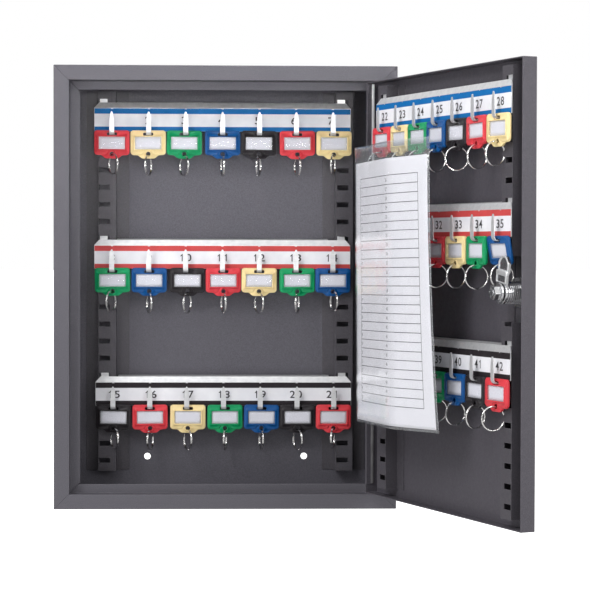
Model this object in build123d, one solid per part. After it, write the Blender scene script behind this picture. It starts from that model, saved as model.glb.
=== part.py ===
from build123d import *
import os

# Wall key cabinet with an inset door hinged on the right, shown with the door
# standing open. All sizes in mm. X right, Y into the wall, Z up. The origin is
# the centre of the outer back face, so the back is Y = 0 and the front Y = -80.
# Door parts are built in the closed position, then turned about the hinge axis.

# ---------------------------------------------------------------- main sizes
WIDTH = 300.0
HEIGHT = 388.0
DEPTH = 80.0
SHEET = 1.0              # sheet thickness of shell, back and door

DOOR_HINGE_X = 134.3     # hinge edge of the closed door
DOOR_WIDTH = 269.6
DOOR_HEIGHT = 357.6
DOOR_FREE_X = DOOR_HINGE_X - DOOR_WIDTH
DOOR_TOP = DOOR_HEIGHT / 2
OPEN_ANGLE = 111.8

KNUCKLE_R = 2.5
AXIS_X = 135.4           # hinge axis
AXIS_Y = -DEPTH - KNUCKLE_R

OPENED = Pos(AXIS_X, AXIS_Y, 0) * Rot(0, 0, OPEN_ANGLE) * Pos(-AXIS_X, -AXIS_Y, 0)

os.makedirs("parts", exist_ok=True)


# ---------------------------------------------------------------- helpers
def save(name, shapes):
    """Write one node, as a solid or a group of separate solids."""
    if not isinstance(shapes, list):
        shapes = [shapes]
    solids = []
    for shape in shapes:
        solids.extend(shape.solids())
    node = solids[0] if len(solids) == 1 else Compound(children=solids)
    export_step(node, f"parts/{name}.step")


def block(x0, x1, y0, y1, z0, z1):
    """Box between limits."""
    centre = Pos((x0 + x1) / 2, (y0 + y1) / 2, (z0 + z1) / 2)
    return centre * Box(x1 - x0, y1 - y0, z1 - z0)


def prism_xz(points, y0, y1):
    """Polygon in X and Z, from y0 to y1 whichever way its face points."""
    face = make_face(Plane.XZ * Polyline(*points, close=True))
    solid = extrude(face, amount=y1 - y0)
    return Pos(0, y0 - solid.bounding_box().min.Y, 0) * solid


def prism_yz(points, x0, x1):
    """Polygon in Y and Z, from x0 to x1 whichever way its face points."""
    face = make_face(Plane.YZ * Polyline(*points, close=True))
    solid = extrude(face, amount=x1 - x0)
    return Pos(x0 - solid.bounding_box().min.X, 0, 0) * solid


def cyl_y(radius, y0, y1, x=0.0, z=0.0):
    """Cylinder along Y."""
    return Pos(x, (y0 + y1) / 2, z) * Rot(90, 0, 0) * Cylinder(radius, y1 - y0)


def cyl_x(radius, x0, x1, y=0.0, z=0.0):
    """Cylinder along X."""
    return Pos((x0 + x1) / 2, y, z) * Rot(0, 90, 0) * Cylinder(radius, x1 - x0)


def tray(x0, x1, half_height, floor, rim):
    """Flat panel with a rim on all four edges; floor and rim are Y limits."""
    panel = block(x0, x1, *floor, -half_height, half_height)
    panel += block(x0, x0 + SHEET, *rim, -half_height, half_height)
    panel += block(x1 - SHEET, x1, *rim, -half_height, half_height)
    panel += block(x0, x1, *rim, half_height - SHEET, half_height)
    panel += block(x0, x1, *rim, -half_height, -half_height + SHEET)
    return panel


def on_door(from_hinge, behind_front):
    """Frame on the open door's inner side for a part built facing -Y."""
    closed = Pos(DOOR_HINGE_X - from_hinge, -DEPTH + behind_front, 0)
    return OPENED * closed * Rot(0, 0, 180)


# ---------------------------------------------------------------- shell
# Each side is one folded strip: wall, front flange, return and door stop,
# mitred at 45 degrees where it meets its neighbours.
FLANGE_SIDE = 13.5       # front flange, left and right
FLANGE_END = 13.0        # front flange, top and bottom
STOP_DEPTH = 15.0        # back of the door stop behind the front face
STOP_SIDE = 8.5          # door stop strip, left and right
STOP_END = 7.5           # door stop strip, top and bottom
MITRE_REACH = 60.0       # inward reach of the mitre cutters


def folded_strip(length, half_span, flange, stop):
    """Folded strip on the -X side, running along Z."""
    x = -half_span
    fold = x + flange - SHEET
    z = length / 2
    strip = block(x, x + SHEET, -DEPTH, 0, -z, z)
    strip += block(x, x + flange, -DEPTH, -DEPTH + SHEET, -z, z)
    strip += block(fold, x + flange, -DEPTH, -DEPTH + STOP_DEPTH, -z, z)
    stop_back = -DEPTH + STOP_DEPTH
    strip += block(fold, x + flange + stop, stop_back - SHEET, stop_back, -z, z)
    return strip


def mitre(outer_start, outer_end):
    """Trapezium on one outer edge, narrowing at 45 degrees towards the centre."""
    inner_x = WIDTH / 2 - MITRE_REACH
    inner_z = HEIGHT / 2 - MITRE_REACH

    def inward(corner):
        x, z = corner
        return (inner_x if x > 0 else -inner_x, inner_z if z > 0 else -inner_z)

    points = [outer_start, outer_end, inward(outer_end), inward(outer_start)]
    return prism_xz(points, -DEPTH - 5, 5)


def shell_left():
    strip = folded_strip(HEIGHT, WIDTH / 2, FLANGE_SIDE, STOP_SIDE)
    return strip & mitre((-WIDTH / 2, -HEIGHT / 2), (-WIDTH / 2, HEIGHT / 2))


def shell_bottom():
    strip = folded_strip(WIDTH, HEIGHT / 2, FLANGE_END, STOP_END)
    strip = Rot(0, -90, 0) * strip
    return strip & mitre((-WIDTH / 2, -HEIGHT / 2), (WIDTH / 2, -HEIGHT / 2))


left = shell_left()
bottom = shell_bottom()
save("shell_left", left)
save("shell_right", mirror(left, about=Plane.YZ))
save("shell_top", mirror(bottom, about=Plane.XY))
save("shell_bottom", bottom)

# ---------------------------------------------------------------- back panel
BACK_RIM = 9.0           # rim of the tray, welded to the shell
SCREW_HOLE_R = 3.0
SCREW_HOLE_DX = 143.0
SCREW_HOLE_DZ = 311.0


def back_panel():
    """Shallow tray whose rim sits inside the shell's walls."""
    x = WIDTH / 2 - SHEET
    panel = tray(-x, x, HEIGHT / 2 - SHEET, floor=(-SHEET, 0), rim=(-BACK_RIM, 0))
    for side in (-1, 1):
        for end in (-1, 1):
            panel -= cyl_y(SCREW_HOLE_R, -5, 5, side * SCREW_HOLE_DX / 2, end * SCREW_HOLE_DZ / 2)
    return panel


save("back_panel", back_panel())

# ---------------------------------------------------------------- cam lock sizes
LOCK_FROM_HINGE = 252.6  # lock axis from the door's hinge edge
LOCK_Z = 1.5
LOCK_R = 9.5
LOCK_FLAT = 8.5          # half width across the shank's flats
LOCK_CLEARANCE = 0.1     # door hole around the shank

# Lock frame: axis along Y, Y = 0 at the outer face of the closed door.
LOCK_AT = Pos(DOOR_HINGE_X - LOCK_FROM_HINGE, -DEPTH, LOCK_Z)

# ---------------------------------------------------------------- uprights
# Slotted hat sections, two on the back panel and two on the door.
UPRIGHT_FACE = 16.0
UPRIGHT_FLANGE = 11.5
UPRIGHT_SHEET = 0.8
UPRIGHT_RISE = 12.1      # height of the face above the panel it is welded to
UPRIGHT_SPACING = 215.0
UPRIGHT_END = 9.6        # upright beyond the outermost slot centre
SLOT_COUNT = 22
SLOT_PITCH = 15.49
SLOT_W = 10.5
SLOT_H = 4.4
CASE_SLOT_Z = 167.2      # top slot centre, cabinet
DOOR_SLOT_Z = 163.9      # top slot centre, door
CASE_SLOT_SHIFTS = (-2.6, -1.5)   # slots off the face's centre, left and right
DOOR_SLOT_SHIFT = 2.0
DOOR_UPRIGHT = 33.5      # first door upright, from the hinge edge
NOTCH = (LOCK_Z - 22.5, LOCK_Z + 27.5)  # Z limits of the gap around the lock


def upright(slot_shift, top_slot, notch=None):
    """Hat section standing on Y = 0, its face towards -Y, Z absolute."""
    z1 = top_slot + UPRIGHT_END
    z0 = top_slot - (SLOT_COUNT - 1) * SLOT_PITCH - UPRIGHT_END
    half = UPRIGHT_FACE / 2
    front = -UPRIGHT_RISE
    hat = block(-half - UPRIGHT_FLANGE, -half + UPRIGHT_SHEET, -UPRIGHT_SHEET, 0, z0, z1)
    hat += block(half - UPRIGHT_SHEET, half + UPRIGHT_FLANGE, -UPRIGHT_SHEET, 0, z0, z1)
    hat += block(-half, -half + UPRIGHT_SHEET, front, 0, z0, z1)
    hat += block(half - UPRIGHT_SHEET, half, front, 0, z0, z1)
    hat += block(-half, half, front, front + UPRIGHT_SHEET, z0, z1)
    slots = []
    for k in range(SLOT_COUNT):
        z = top_slot - k * SLOT_PITCH
        x0, x1 = slot_shift - SLOT_W / 2, slot_shift + SLOT_W / 2
        y0, y1 = front - 1, front + UPRIGHT_SHEET + 0.6
        slots.append(block(x0, x1, y0, y1, z - SLOT_H / 2, z + SLOT_H / 2))
    hat = hat - slots
    if notch:
        # the web and flange on the -X side stay whole outside the face
        hat = hat - block(-half, half + UPRIGHT_FLANGE + 1, front - 1, 1, *notch)
    return hat


for side, name, shift in zip((-1, 1), ("left", "right"), CASE_SLOT_SHIFTS):
    case_upright = upright(shift, CASE_SLOT_Z)
    save(f"upright_case_{name}", Pos(side * UPRIGHT_SPACING / 2, -SHEET, 0) * case_upright)

save("upright_door_left", on_door(DOOR_UPRIGHT, SHEET) * upright(DOOR_SLOT_SHIFT, DOOR_SLOT_Z))
save(
    "upright_door_right",
    on_door(DOOR_UPRIGHT + UPRIGHT_SPACING, SHEET) * upright(DOOR_SLOT_SHIFT, DOOR_SLOT_Z, NOTCH),
)

# ---------------------------------------------------------------- door pan
DOOR_EDGE = 12.4         # depth of the door's folded edge
HEM = 6.0                # folded-back hem on the hinge-side edge
EDGE_BACK = -DEPTH + DOOR_EDGE
HEM_FRONT = EDGE_BACK - HEM
HEM_X = DOOR_HINGE_X - 2 * SHEET


def door_pan():
    pan = tray(
        DOOR_FREE_X,
        DOOR_HINGE_X,
        DOOR_TOP,
        floor=(-DEPTH, -DEPTH + SHEET),
        rim=(-DEPTH, EDGE_BACK),
    )
    pan += block(HEM_X, HEM_X + SHEET, HEM_FRONT, EDGE_BACK, -DOOR_TOP + 8, DOOR_TOP - SHEET)
    # lock hole with two flats
    flat = LOCK_FLAT + LOCK_CLEARANCE
    hole = cyl_y(LOCK_R + LOCK_CLEARANCE, -1, SHEET + 1)
    hole = hole & block(-LOCK_R - 1, LOCK_R + 1, -2, SHEET + 2, -flat, flat)
    pan -= LOCK_AT * hole
    return pan


def hem_strip():
    """Bright strip pressed onto the inside of the hem."""
    z0, z1 = -DOOR_TOP + 8.5, DOOR_TOP - SHEET - 0.3
    return block(HEM_X - 0.6, HEM_X, HEM_FRONT - 0.8, HEM_FRONT + 1.6, z0, z1)


save("door_pan", OPENED * door_pan())
save("hem_strip", OPENED * hem_strip())

# ---------------------------------------------------------------- hinge
PIN_R = 1.25
PIN_CLEARANCE = 0.05     # running clearance of the pin
LEAF_SHEET = 0.8
LEAF_OFFSET = 0.3        # leaf's near face from the axis plane
HINGE_LENGTH = 340.0
KNUCKLES = 17
KNUCKLE_PITCH = HINGE_LENGTH / KNUCKLES
KNUCKLE_GAP = 0.3


def hinge_leaf(on_case):
    """Piano hinge leaf with every other knuckle, for the cabinet or the door."""
    near, far = LEAF_OFFSET, LEAF_OFFSET + LEAF_SHEET
    x0, x1 = (AXIS_X + near, AXIS_X + far) if on_case else (AXIS_X - far, AXIS_X - near)
    leaf = block(x0, x1, -DEPTH + 0.2, -DEPTH + 11.0, -HINGE_LENGTH / 2, HINGE_LENGTH / 2)
    for k in range(0 if on_case else 1, KNUCKLES, 2):
        z0 = -HINGE_LENGTH / 2 + k * KNUCKLE_PITCH + KNUCKLE_GAP / 2
        z1 = z0 + KNUCKLE_PITCH - KNUCKLE_GAP
        leaf += Pos(AXIS_X, AXIS_Y, (z0 + z1) / 2) * Cylinder(KNUCKLE_R, z1 - z0)
        leaf += block(x0, x1, AXIS_Y + 1.7, -DEPTH + 0.3, z0, z1)
    leaf -= Pos(AXIS_X, AXIS_Y, 0) * Cylinder(PIN_R + PIN_CLEARANCE, HINGE_LENGTH + 10)
    return leaf


def hinge_pin():
    """Pin with a flat head at both ends."""
    pin = Pos(AXIS_X, AXIS_Y, 0) * Cylinder(PIN_R, HINGE_LENGTH + 0.4)
    for end in (1, -1):
        head_at = Pos(AXIS_X, AXIS_Y, end * (HINGE_LENGTH / 2 + 0.5))
        pin += head_at * Cylinder(KNUCKLE_R - 0.3, 0.8)
    return pin


save("hinge_leaf_case", hinge_leaf(on_case=True))
save("hinge_leaf_door", OPENED * hinge_leaf(on_case=False))
save("hinge_pin", hinge_pin())

# ---------------------------------------------------------------- cam lock
# All pieces are built in the lock frame.
SHANK_END = 18.9         # end of the shank behind the door's outer face
PLUG_R = 5.95
SQUARE = 3.4             # half width of the plug's square
STUD_R = 2.5
CAM_REST = 8.0           # cam leans this far towards the free edge at rest
CAM_LENGTH = 28.0
CAM_W = 15.0
CAM_HUB = (SHANK_END + 0.2, SHANK_END + 2.2)    # Y limits of the hub plate
CAM_TIP = (SHANK_END - 1.0, SHANK_END + 1.0)    # Y limits of the cranked leaf
NUT_T = 5.0


def lock_body():
    body = cyl_y(11.4, -2.2, 0)
    shank = cyl_y(LOCK_R, 0, SHANK_END) & block(-12, 12, -1, 24, -LOCK_FLAT, LOCK_FLAT)
    # thread grooves on the round sides of the shank
    for k in range(9):
        y = 3.2 + 1.7 * k
        shank -= cyl_y(LOCK_R + 1, y, y + 0.7) - cyl_y(LOCK_R - 0.6, y - 1, y + 2)
    body += shank
    body -= cyl_y(PLUG_R + 0.05, -5, 30)
    return body


def lock_plug():
    """Plug with a square and a stud behind it, and a key slot in front."""
    plug = cyl_y(PLUG_R, -2.0, SHANK_END)
    plug += block(-SQUARE, SQUARE, SHANK_END - 0.1, SHANK_END + 2.8, -SQUARE, SQUARE)
    plug += cyl_y(STUD_R, SHANK_END + 2.7, SHANK_END + 9.8)
    plug -= block(-0.8, 0.8, -3, 8, -3.6, 3.6)
    return plug


def lock_cam():
    """Hub plate on the plug's square with a cranked leaf pointing up."""
    half = CAM_W / 2
    hub_front, hub_back = CAM_HUB
    tip_front, tip_back = CAM_TIP
    cam = cyl_y(8.8, *CAM_HUB)
    cam += block(-half, half, *CAM_HUB, 0, 14.5)
    crank = [(hub_back, 14.0), (hub_front, 14.0), (tip_front, 16.8), (tip_back, 16.8)]
    cam += prism_yz(crank, -half, half)
    # X, Z outline of the leaf's tip
    tip = [
        (-half, 16.4), (half, 16.4), (half, 23.0),
        (3.0, CAM_LENGTH), (-3.0, CAM_LENGTH), (-half, 23.0),
    ]
    cam += prism_xz(tip, *CAM_TIP)
    hole = SQUARE + 0.05
    cam -= block(-hole, hole, 10, 30, -hole, hole)
    return cam


def cam_washer():
    y = CAM_HUB[1]
    return cyl_y(7.2, y + 0.75, y + 2.15) - cyl_y(STUD_R + 0.1, y, y + 3)


def cam_nut():
    y = CAM_HUB[1]
    hexagon = extrude(RegularPolygon(radius=5.8, side_count=6), amount=NUT_T)
    nut = Pos(0, y + 2.2 + NUT_T, 0) * Rot(90, 0, 0) * hexagon
    nut -= cyl_y(STUD_R + 0.05, y, y + 12)
    return nut


def lock_clip():
    """Horseshoe clip slid over the shank's flats against the door's inner side."""
    # X, Z outline
    outline = [
        (-10.5, -11.6), (-10.5, -14.6), (-5.5, -14.6), (-3.5, -11.6),
        (11.5, -11.6), (11.5, 11.2), (-10.5, 11.2),
    ]
    clip = prism_xz(outline, SHEET + 0.05, SHEET + 1.25)
    mouth = LOCK_FLAT + 0.2
    clip -= block(-14, 9.7, 0, 5, -mouth, mouth)
    return clip


LOCK_OPENED = OPENED * LOCK_AT
CAM_AT_REST = LOCK_OPENED * Rot(0, -CAM_REST, 0)
save("lock_body", LOCK_OPENED * lock_body())
save("lock_plug", CAM_AT_REST * lock_plug())
save("lock_cam", CAM_AT_REST * lock_cam())
save("cam_washer", CAM_AT_REST * cam_washer())
save("cam_nut", CAM_AT_REST * cam_nut())
save("lock_clip", LOCK_OPENED * lock_clip())

# ---------------------------------------------------------------- hook rail
# Local frame: X along the rail, viewer at -Y, the upright's face at Y = 0,
# Z = 0 at the plate's top.
RAIL_LENGTH = 231.7
RAIL_H = 21.0
RAIL_SHEET = 0.8
RAIL_FRONT = 3.0         # plate front ahead of the upright's face
TAB_W = 6.8
HOOK_COUNT = 7
HOOK_PITCH = 33.25
HOOK_W = 4.5
HOOK_R = 3.0             # inner radius of the hook's bend
HOOK_TIP_Z = -3.6
BEND_Y = -(RAIL_FRONT + HOOK_R)
BEND_Z = -RAIL_H + 0.4
HOOK_XS = [(i - (HOOK_COUNT - 1) / 2) * HOOK_PITCH for i in range(HOOK_COUNT)]
LABEL_T = 0.25


def hook_bend(x):
    """Lower half ring under the plate's bottom edge."""
    bend = cyl_x(HOOK_R + RAIL_SHEET, x - HOOK_W / 2, x + HOOK_W / 2, BEND_Y, BEND_Z)
    bend -= cyl_x(HOOK_R, x - HOOK_W, x + HOOK_W, BEND_Y, BEND_Z)
    bend -= block(x - HOOK_W, x + HOOK_W, BEND_Y - 8, BEND_Y + 8, BEND_Z, BEND_Z + 8)
    return bend


def hook_stem(x):
    """Tongue rising in front of the plate to a narrow tip."""
    half = HOOK_W / 2
    # X, Z outline
    outline = [
        (x - half, BEND_Z - 0.02), (x + half, BEND_Z - 0.02),
        (x + half, -9.5), (x + 0.9, -4.4), (x + 0.4, HOOK_TIP_Z),
        (x - 0.4, HOOK_TIP_Z), (x - 0.9, -4.4), (x - half, -9.5),
    ]
    return prism_xz(outline, BEND_Y - HOOK_R - RAIL_SHEET, BEND_Y - HOOK_R)


def punch_marks(part):
    """Cut a small notch near the plate's top above every hook."""
    for x in HOOK_XS:
        part -= block(x - 1.0, x + 1.0, -RAIL_FRONT - 1, -RAIL_FRONT + 0.35, -0.9, -0.35)
    return part


def rail():
    half = RAIL_LENGTH / 2
    front, back = -RAIL_FRONT, -(RAIL_FRONT - RAIL_SHEET)
    plate = block(-half, half, front, back, -RAIL_H, 0)
    # steep ledge from the plate's top back to the uprights, ends cut at a slant
    ledge = prism_yz(
        [(front, -0.3), (-0.75, 5.05), (-0.3, 5.05), (-0.3, 4.25), (back, -0.3)], -half, half
    )
    slant = [
        (-half, -1), (half, -1), (half, 0.2),
        (half - 4.5, 5.2), (-half + 4.5, 5.2), (-half, 0.2),
    ]
    plate += ledge & prism_xz(slant, -6, 2)
    # rear flange between the two uprights
    plate += prism_yz([(-0.6, 4.25), (-0.6, 5.05), (7.0, 6.1), (7.0, 5.3)], -95.5, 95.5)
    # tabs through the slots, turned up behind the face
    for side in (-1, 1):
        x = side * UPRIGHT_SPACING / 2
        plate += block(x - TAB_W / 2, x + TAB_W / 2, -0.6, 1.8, 4.05, 5.05)
        plate += block(x - TAB_W / 2, x + TAB_W / 2, 1.0, 1.8, 4.05, 9.4)
    for x in HOOK_XS:
        plate += hook_bend(x)
        plate += hook_stem(x)
    return punch_marks(plate)


def label_strip():
    """Strip on the plate's front, cut clear of every hook's bend."""
    half = RAIL_LENGTH / 2 - 0.25
    front = -RAIL_FRONT
    strip = block(-half, half, front - LABEL_T, front, -RAIL_H + 0.1, -0.35)
    cut = HOOK_W / 2 + 0.2
    for x in HOOK_XS:
        strip -= block(x - cut, x + cut, front - 1, front + 1, -RAIL_H - 1, -RAIL_H + 0.5)
    return punch_marks(strip)


# ---------------------------------------------------------------- key tag
# Local frame: X across, viewer at -Y, mid plane at Y = 0, Z = 0 at the top.
TAG_W = 31.8
TAG_H = 22.2
TAG_FULL_H = 25.3        # height with the lobe
TAG_T = 3.6
TAG_FACE = -TAG_T / 2
TAG_BAR = 1.7            # bar above the hook slot
RING_HOLE_R = 2.1
RING_HOLE_Z = -21.3
RING_R = 10.0            # outer radius of the split ring
RING_WIRE = 1.3          # radial thickness
RING_AXIAL = 1.8         # axial thickness


def tag():
    outline = Pos(0, -TAG_H / 2) * RectangleRounded(TAG_W, TAG_H, 3.0)
    outline += Pos(0, -TAG_FULL_H + 5.0) * RectangleRounded(17.0, 10.0, 3.4)
    body = extrude(Plane.XZ * outline, amount=TAG_T / 2, both=True)
    # hook slot under the top bar
    body -= block(-5.0, 5.0, -5, 5, -4.8, -TAG_BAR)
    # window pocket
    body -= block(-12.1, 12.1, -5, TAG_FACE + 1.6, -17.2, -5.5)
    # lobe thinned on both sides around the ring hole
    body -= block(-6.5, 6.5, -5, -1.0, -TAG_FULL_H - 1, -18.6)
    body -= block(-6.5, 6.5, 1.0, 5, -TAG_FULL_H - 1, -18.6)
    body -= cyl_y(RING_HOLE_R, -5, 5, 0, RING_HOLE_Z)
    return body


def tag_insert():
    return block(-11.9, 11.9, TAG_FACE + 1.25, TAG_FACE + 1.5, -17.0, -5.7)


def tag_window():
    return block(-12.0, 12.0, TAG_FACE + 0.2, TAG_FACE + 1.15, -17.1, -5.6)


def split_ring(yaw, tilt, sink, roll):
    """Ring hanging in the tag's hole, square to the tag, then turned."""
    wire_centre = RING_R - RING_WIRE / 2
    ring = revolve(Plane.XZ * Pos(wire_centre, 0) * Rectangle(RING_WIRE, RING_AXIAL), axis=Axis.Z)
    # ring axis along X, top of the wire through the origin
    ring = Pos(0, 0, -wire_centre) * Rot(0, 90, 0) * ring
    ring = Rot(0, 0, yaw) * Rot(tilt, 0, 0) * Rot(0, roll, 0) * ring
    return Pos(0, 0, RING_HOLE_Z - sink) * ring


# ---------------------------------------------------------------- rows of keys
RAIL_DROP = 6.2          # plate top below the slot centre
# slot index and X; the rails hang slightly left of centre, with play in the slots
CASE_ROWS = ((0, -3.1), (8, -3.1), (16, -2.0))
DOOR_ROWS = (0, 6, 13)   # slot index
DOOR_RAIL = 143.6        # rail centre from the hinge edge
TAG_AHEAD = 5.2          # tag mid plane ahead of the upright's face
TAG_TOP = -20.3          # tag top below the plate top

# yaw of every ring in degrees, one line per row, cabinet rows first
RING_YAWS = (
    (8, -14, 12, 18, -10, 15, -6),
    (-9, 13, -17, 6, 16, -12, 10),
    (5, -11, 15, -7, 12, 18, -9),
    (-6, 10, -8, 13, -15, 7, 5),
    (9, -12, 6, -10, 14, -5, -8),
    (-7, 8, 12, -14, 5, 11, -6),
)
RING_SINK = 0.5          # upright rings sit lower in the hole
EDGE_LEAN = -35.0        # outer rings lean forward, resting against the uprights
HELD_KEY = (4, 6)        # row and hook of the tag held back by the cam
HELD_TILT = 10.5
HELD_ROLL = 3.5


def case_row(slot, x):
    z = CASE_SLOT_Z - slot * SLOT_PITCH - RAIL_DROP
    return Pos(x, -SHEET - UPRIGHT_RISE, z)


def door_row(slot):
    z = DOOR_SLOT_Z - slot * SLOT_PITCH - RAIL_DROP
    return on_door(DOOR_RAIL, SHEET + UPRIGHT_RISE) * Pos(0, 0, z)


def hang_key(row, hook):
    """Tag frame on the rail, and the ring in that frame."""
    frame = Pos(HOOK_XS[hook], -TAG_AHEAD, TAG_TOP)
    yaw = RING_YAWS[row][hook]
    if (row, hook) == HELD_KEY:
        # tilt at the height of the hook's bend; the ring tilts back by the same angle
        pivot = BEND_Z - TAG_TOP
        frame = frame * Pos(0, 0, pivot) * Rot(HELD_TILT, 0, 0) * Pos(0, 0, -pivot)
        return frame, split_ring(yaw, tilt=-HELD_TILT, sink=0.0, roll=HELD_ROLL)
    if hook in (0, HOOK_COUNT - 1):
        return frame, split_ring(yaw, tilt=EDGE_LEAN, sink=0.0, roll=0.0)
    return frame, split_ring(yaw, tilt=0.0, sink=RING_SINK, roll=0.0)


unit_rail = rail()
unit_label = label_strip()
unit_tag = tag()
unit_insert = tag_insert()
unit_window = tag_window()
row_frames = [case_row(slot, x) for slot, x in CASE_ROWS]
row_frames += [door_row(slot) for slot in DOOR_ROWS]

for row, row_frame in enumerate(row_frames):
    number = row + 1
    save(f"rail_{number}", row_frame * unit_rail)
    save(f"label_strip_{number}", row_frame * unit_label)
    tags, inserts, windows, rings = [], [], [], []
    for hook in range(HOOK_COUNT):
        tag_frame, ring = hang_key(row, hook)
        place = row_frame * tag_frame
        tags.append(place * unit_tag)
        inserts.append(place * unit_insert)
        windows.append(place * unit_window)
        rings.append(place * ring)
    save(f"tags_{number}", tags)
    save(f"tag_inserts_{number}", inserts)
    save(f"tag_windows_{number}", windows)
    save(f"split_rings_{number}", rings)

# ---------------------------------------------------------------- index sleeve
# Clear pocket, open at the top, with the key index inside it.
SLEEVE_W = 152.0
SLEEVE_H = 232.0
SLEEVE_T = 1.6
SLEEVE_WALL = 0.35
SLEEVE_X1 = DOOR_HINGE_X - 35.0
SLEEVE_X0 = SLEEVE_X1 - SLEEVE_W
SLEEVE_Y0 = -DEPTH + 39.8
SLEEVE_Y1 = SLEEVE_Y0 + SLEEVE_T
SLEEVE_Z0 = -112.5
CARD_W = 146.0
CARD_H = 216.0
CARD_T = 0.4


def index_sleeve():
    top = SLEEVE_Z0 + SLEEVE_H
    sleeve = block(SLEEVE_X0, SLEEVE_X1, SLEEVE_Y0, SLEEVE_Y1, SLEEVE_Z0, top)
    y0, y1 = SLEEVE_Y0 + SLEEVE_WALL, SLEEVE_Y1 - SLEEVE_WALL
    sleeve -= block(SLEEVE_X0 + 2.0, SLEEVE_X1 - 2.0, y0, y1, SLEEVE_Z0 + 1.8, top + 5)
    return sleeve


def index_card():
    x = (SLEEVE_X0 + SLEEVE_X1) / 2
    y = (SLEEVE_Y0 + SLEEVE_Y1) / 2
    z = SLEEVE_Z0 + 2.0 + CARD_H / 2
    return Pos(x, y, z) * Box(CARD_W, CARD_T, CARD_H)


save("index_sleeve", OPENED * index_sleeve())
save("index_card", OPENED * index_card())
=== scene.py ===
import bpy
import bmesh
import math
from mathutils import Vector, Matrix, geometry

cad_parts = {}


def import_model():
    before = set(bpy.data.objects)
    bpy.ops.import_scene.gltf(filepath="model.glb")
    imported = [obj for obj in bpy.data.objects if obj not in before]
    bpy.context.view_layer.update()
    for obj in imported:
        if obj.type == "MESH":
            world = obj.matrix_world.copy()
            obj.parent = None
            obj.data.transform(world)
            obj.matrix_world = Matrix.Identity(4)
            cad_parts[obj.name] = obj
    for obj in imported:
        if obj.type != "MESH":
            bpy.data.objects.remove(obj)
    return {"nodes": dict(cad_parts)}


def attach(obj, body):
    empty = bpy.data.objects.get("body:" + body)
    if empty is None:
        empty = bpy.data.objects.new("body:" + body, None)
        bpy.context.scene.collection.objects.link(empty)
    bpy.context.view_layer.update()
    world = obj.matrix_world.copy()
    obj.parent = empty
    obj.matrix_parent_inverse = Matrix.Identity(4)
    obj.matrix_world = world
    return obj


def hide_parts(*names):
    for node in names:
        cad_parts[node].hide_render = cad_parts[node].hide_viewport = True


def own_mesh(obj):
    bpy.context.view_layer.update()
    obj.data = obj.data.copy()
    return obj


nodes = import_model()["nodes"]
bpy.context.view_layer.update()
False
MM = 0.001
scene = bpy.context.scene

# ------------------------------------------------------------------ places
DOOR_ANGLE = 111.8
HINGE_X, HINGE_Y = 135.4, -82.5
DOOR_X, DOOR_Y = 134.3, -80.0  # hinge-side end and face of the closed door's sheet

SLOT_PITCH = 15.49
CASE_SLOTS, DOOR_SLOTS = (0, 8, 16), (0, 6, 13)  # slots down from the first, per rail
CASE_SLOT_Z, DOOR_SLOT_Z = 167.2, 163.9  # first slot
RAIL_RISE = -6.2  # rail's top, from its slot
SHEET, UPRIGHT_HEIGHT = 1.0, 12.1
RAIL_OFF = SHEET + UPRIGHT_HEIGHT  # rail's back, off the sheet
CASE_RAIL_X = (-3.1, -3.1, -2.0)
DOOR_RAIL_ALONG = 143.6  # middle of the door's rails, from the hinge side

RAILS, HOOKS = 6, 7
HOOK_PITCH = 33.25


def move(x, y, z):
    return Matrix.Translation(Vector((x * MM, y * MM, z * MM)))


def turn(degrees, axis):
    return Matrix.Rotation(math.radians(degrees), 4, axis)


OPEN = move(HINGE_X, HINGE_Y, 0) @ turn(DOOR_ANGLE, "Z") @ move(-HINGE_X, -HINGE_Y, 0)


def door_frame(along, off, z):
    """Frame on the open door: +x runs away from the hinge, -y points off the sheet."""
    return OPEN @ move(DOOR_X - along, DOOR_Y + off, z) @ turn(180, "Z")


# Each rail's frame has its origin at the middle of the rail's top edge.
RAIL_Z = [CASE_SLOT_Z - slot * SLOT_PITCH + RAIL_RISE for slot in CASE_SLOTS]
RAIL_Z += [DOOR_SLOT_Z - slot * SLOT_PITCH + RAIL_RISE for slot in DOOR_SLOTS]
RAIL_FRAMES = [move(x, -RAIL_OFF, z) for x, z in zip(CASE_RAIL_X, RAIL_Z)]
RAIL_FRAMES += [door_frame(DOOR_RAIL_ALONG, RAIL_OFF, z) for z in RAIL_Z[3:]]


# ------------------------------------------------------------------ node helpers
def linear(*srgb):
    """sRGB 0-255 to linear."""
    values = [v / 255.0 for v in srgb]
    return [v / 12.92 if v <= 0.04045 else ((v + 0.055) / 1.055) ** 2.4 for v in values]


def shade(colour, times, plus=0.0):
    return [min(1.0, v * times + plus) for v in colour]


class Nodes:
    """An emptied node tree and short ways to fill it."""

    def __init__(self, owner):
        owner.use_nodes = True
        self.tree = owner.node_tree
        self.tree.nodes.clear()

    def put(self, socket, value):
        """Link an output to the socket, or set its value."""
        if isinstance(value, bpy.types.NodeSocket):
            self.tree.links.new(value, socket)
        elif socket.type == "RGBA":
            socket.default_value = [*value, 1.0]
        else:
            socket.default_value = value

    def node(self, kind, inputs=None, **settings):
        node = self.tree.nodes.new("ShaderNode" + kind)
        for key, value in settings.items():
            setattr(node, key, value)
        for key, value in (inputs or {}).items():
            self.put(node.inputs[key], value)
        return node

    def math(self, operation, a, b, clamp=False):
        return self.node("Math", {0: a, 1: b}, operation=operation, use_clamp=clamp).outputs[0]

    def remap(self, value, span, to, **settings):
        inputs = {0: value, 1: span[0], 2: span[1], 3: to[0], 4: to[1]}
        return self.node("MapRange", inputs, **settings).outputs[0]


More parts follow.
